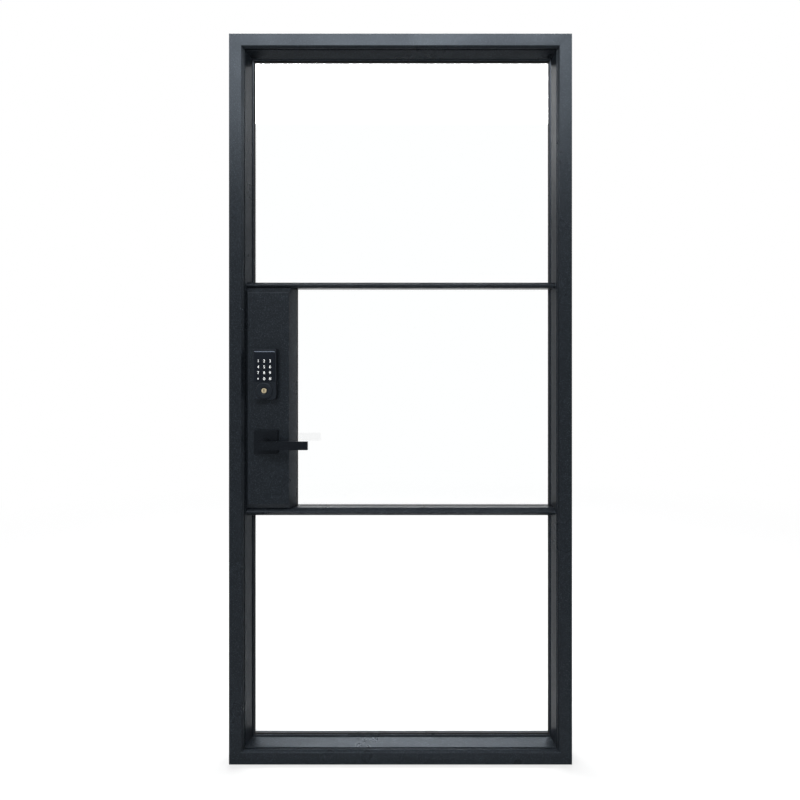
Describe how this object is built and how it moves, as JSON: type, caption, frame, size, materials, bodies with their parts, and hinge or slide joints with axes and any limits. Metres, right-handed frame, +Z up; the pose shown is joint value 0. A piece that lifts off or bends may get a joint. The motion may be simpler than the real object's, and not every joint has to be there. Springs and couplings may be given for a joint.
{
  "type": "french door",
  "caption": "Steel-framed glass door leaf hung in its own steel frame, with thin glazing bars, a lock box carrying a keypad deadbolt, and a lever latch.",
  "frame": {"origin": "under the middle of the sill, half way through the depth of the frame", "axes": "+Z up, +X to the hinge side seen from outdoors, +Y indoors"},
  "size_m": [0.965, 0.175, 2.057],
  "materials": {
    "painted_steel": "satin charcoal powder coat",
    "clear_glass": "clear float",
    "soft_seal": "matt",
    "glazing_rubber": "matt",
    "bare_steel": "brushed",
    "lever_black": "matt black",
    "lock_black": "matt black",
    "cover_plastic": "fine texture",
    "key_gloss": "gloss black",
    "board_green": "lacquered",
    "plug_brass": "turned"
  },
  "bodies": {
    "frame": {"jamb_lock": "painted_steel", "jamb_hinge": "painted_steel", "head": "painted_steel", "sill": "painted_steel", "frame_seal": "soft_seal", "strike_latch": "bare_steel", "strike_bolt": "bare_steel", "strike_screws": "bare_steel", "hinge_top_frame": "painted_steel", "hinge_mid_frame": "painted_steel", "hinge_low_frame": "painted_steel", "hinge_pins": "bare_steel"},
    "leaf": {"stile_lock": "painted_steel", "stile_hinge": "painted_steel", "rail_top": "painted_steel", "rail_bottom": "painted_steel", "bar_upper": "painted_steel", "bar_lower": "painted_steel", "lock_box": "painted_steel", "lock_box_back": "painted_steel", "glass_top": "clear_glass", "glass_mid": "clear_glass", "glass_low": "clear_glass", "gasket_top": "glazing_rubber", "gasket_mid": "glazing_rubber", "gasket_low": "glazing_rubber", "bead_top": "painted_steel", "bead_mid": "painted_steel", "bead_low": "painted_steel", "hinge_top_leaf": "painted_steel", "hinge_mid_leaf": "painted_steel", "hinge_low_leaf": "painted_steel", "keypad_housing": "lock_black", "keypad_panel": "key_gloss", "keypad_board": "board_green", "lock_cylinder": "lock_black", "rosette_outer": "lever_black", "rosette_inner": "lever_black", "latch_case": "bare_steel", "bolt_case": "bare_steel", "indoor_cover": "cover_plastic"},
    "handles": {"lever_outer": "lever_black", "knob_inner": "lever_black", "spindle": "bare_steel"},
    "latch": {"latch_bolt": "bare_steel"},
    "thumbturn": {"thumbturn": "lever_black"},
    "deadbolt": {"deadbolt": "bare_steel"},
    "key_plug": {"key_plug": "plug_brass"},
    "key_1": {"key_1": "key_gloss"},
    "key_2": {"key_2": "key_gloss"},
    "key_3": {"key_3": "key_gloss"},
    "key_4": {"key_4": "key_gloss"},
    "key_5": {"key_5": "key_gloss"},
    "key_6": {"key_6": "key_gloss"},
    "key_7": {"key_7": "key_gloss"},
    "key_8": {"key_8": "key_gloss"},
    "key_9": {"key_9": "key_gloss"},
    "key_clear": {"key_clear": "key_gloss"},
    "key_0": {"key_0": "key_gloss"},
    "key_enter": {"key_enter": "key_gloss"}
  },
  "joints": [
    {"name": "leaf_swing", "type": "hinge", "parent": "frame", "child": "leaf", "pos_m": [0.45225, 0.0455, 1.0285], "axis": [0, 0, -1], "range_deg": [0, 105]},
    {"name": "lever_turn", "type": "hinge", "parent": "leaf", "child": "handles", "pos_m": [-0.38, 0.0065, 0.907], "axis": [0, 1, 0], "range_deg": [0, 45], "stiffness_Nm_per_rad": 2, "springref_deg": -22.92},
    {"name": "latch_slide", "type": "slide", "parent": "leaf", "child": "latch", "axis": [1, 0, 0], "range_m": [0, 0.012]},
    {"name": "thumbturn_turn", "type": "hinge", "parent": "leaf", "child": "thumbturn", "pos_m": [-0.38, 0.0365, 1.053], "axis": [0, 1, 0], "range_deg": [0, 90]},
    {"name": "deadbolt_slide", "type": "slide", "parent": "leaf", "child": "deadbolt", "axis": [-1, 0, 0], "range_m": [0, 0.025]},
    {"name": "key_plug_turn", "type": "hinge", "parent": "leaf", "child": "key_plug", "pos_m": [-0.38, -0.04, 1.053], "axis": [0, 1, 0], "range_deg": [0, 90]},
    {"name": "key_1_press", "type": "slide", "parent": "leaf", "child": "key_1", "axis": [0, 1, 0], "range_m": [0, 0.0012], "stiffness_N_per_m": 600, "springref_m": -0.0005},
    {"name": "key_2_press", "type": "slide", "parent": "leaf", "child": "key_2", "axis": [0, 1, 0], "range_m": [0, 0.0012], "stiffness_N_per_m": 600, "springref_m": -0.0005},
    {"name": "key_3_press", "type": "slide", "parent": "leaf", "child": "key_3", "axis": [0, 1, 0], "range_m": [0, 0.0012], "stiffness_N_per_m": 600, "springref_m": -0.0005},
    {"name": "key_4_press", "type": "slide", "parent": "leaf", "child": "key_4", "axis": [0, 1, 0], "range_m": [0, 0.0012], "stiffness_N_per_m": 600, "springref_m": -0.0005},
    {"name": "key_5_press", "type": "slide", "parent": "leaf", "child": "key_5", "axis": [0, 1, 0], "range_m": [0, 0.0012], "stiffness_N_per_m": 600, "springref_m": -0.0005},
    {"name": "key_6_press", "type": "slide", "parent": "leaf", "child": "key_6", "axis": [0, 1, 0], "range_m": [0, 0.0012], "stiffness_N_per_m": 600, "springref_m": -0.0005},
    {"name": "key_7_press", "type": "slide", "parent": "leaf", "child": "key_7", "axis": [0, 1, 0], "range_m": [0, 0.0012], "stiffness_N_per_m": 600, "springref_m": -0.0005},
    {"name": "key_8_press", "type": "slide", "parent": "leaf", "child": "key_8", "axis": [0, 1, 0], "range_m": [0, 0.0012], "stiffness_N_per_m": 600, "springref_m": -0.0005},
    {"name": "key_9_press", "type": "slide", "parent": "leaf", "child": "key_9", "axis": [0, 1, 0], "range_m": [0, 0.0012], "stiffness_N_per_m": 600, "springref_m": -0.0005},
    {"name": "key_clear_press", "type": "slide", "parent": "leaf", "child": "key_clear", "axis": [0, 1, 0], "range_m": [0, 0.0012], "stiffness_N_per_m": 600, "springref_m": -0.0005},
    {"name": "key_0_press", "type": "slide", "parent": "leaf", "child": "key_0", "axis": [0, 1, 0], "range_m": [0, 0.0012], "stiffness_N_per_m": 600, "springref_m": -0.0005},
    {"name": "key_enter_press", "type": "slide", "parent": "leaf", "child": "key_enter", "axis": [0, 1, 0], "range_m": [0, 0.0012], "stiffness_N_per_m": 600, "springref_m": -0.0005}
  ],
  "couplings": [
    {"joint": "latch_slide", "follows": "lever_turn", "m_per_rad": 0.01527},
    {"joint": "thumbturn_turn", "follows": "deadbolt_slide", "rad_per_m": 62.832}
  ]
}
